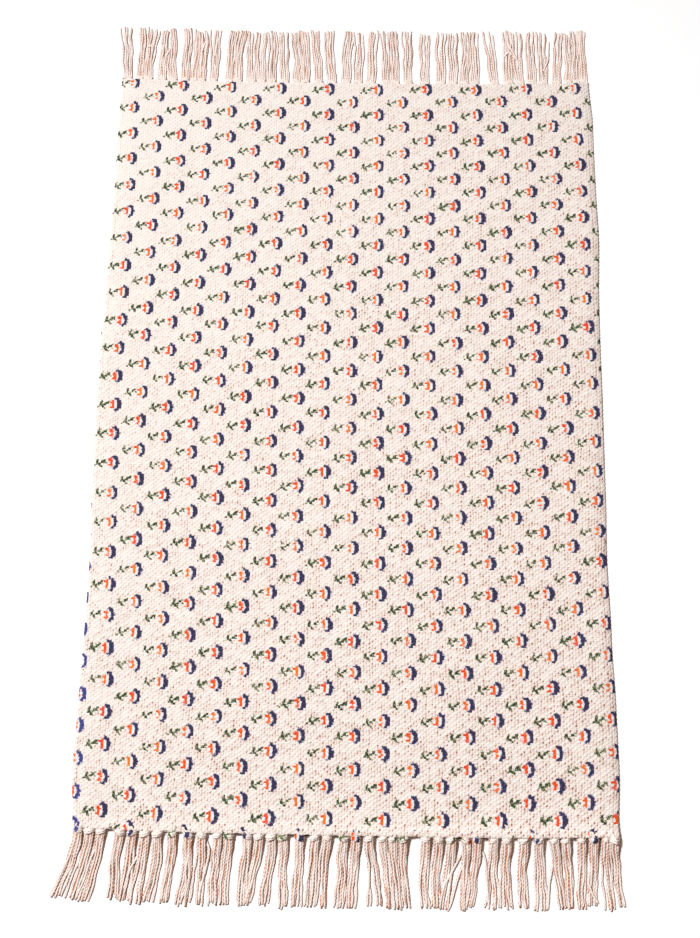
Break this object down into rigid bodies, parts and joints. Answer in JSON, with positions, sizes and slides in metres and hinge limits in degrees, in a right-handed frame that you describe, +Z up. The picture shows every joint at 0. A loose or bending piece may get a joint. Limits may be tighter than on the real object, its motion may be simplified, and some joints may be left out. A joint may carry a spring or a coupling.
{
  "type": "dhurrie rug",
  "caption": "Flat-woven cotton rug with small block-printed flower sprigs on cream and a knotted warp fringe at both ends.",
  "frame": {"origin": "middle of the woven cloth's underside, on the floor", "axes": "+Z up; +Y along the rug's length towards the far end; +X across the rug, to the right seen from the near end"},
  "size_m": [0.6265, 1.0625, 0.007],
  "materials": {
    "printed_cotton": "undyed cream cotton in plain weave, block-printed with sprigs in navy, orange and green",
    "cotton_yarn": "undyed plied cotton warp yarn, matt and soft"
  },
  "bodies": {
    "root": {"cloth": "printed_cotton", "fringe_near": "cotton_yarn", "fringe_far": "cotton_yarn"}
  },
  "joints": []
}
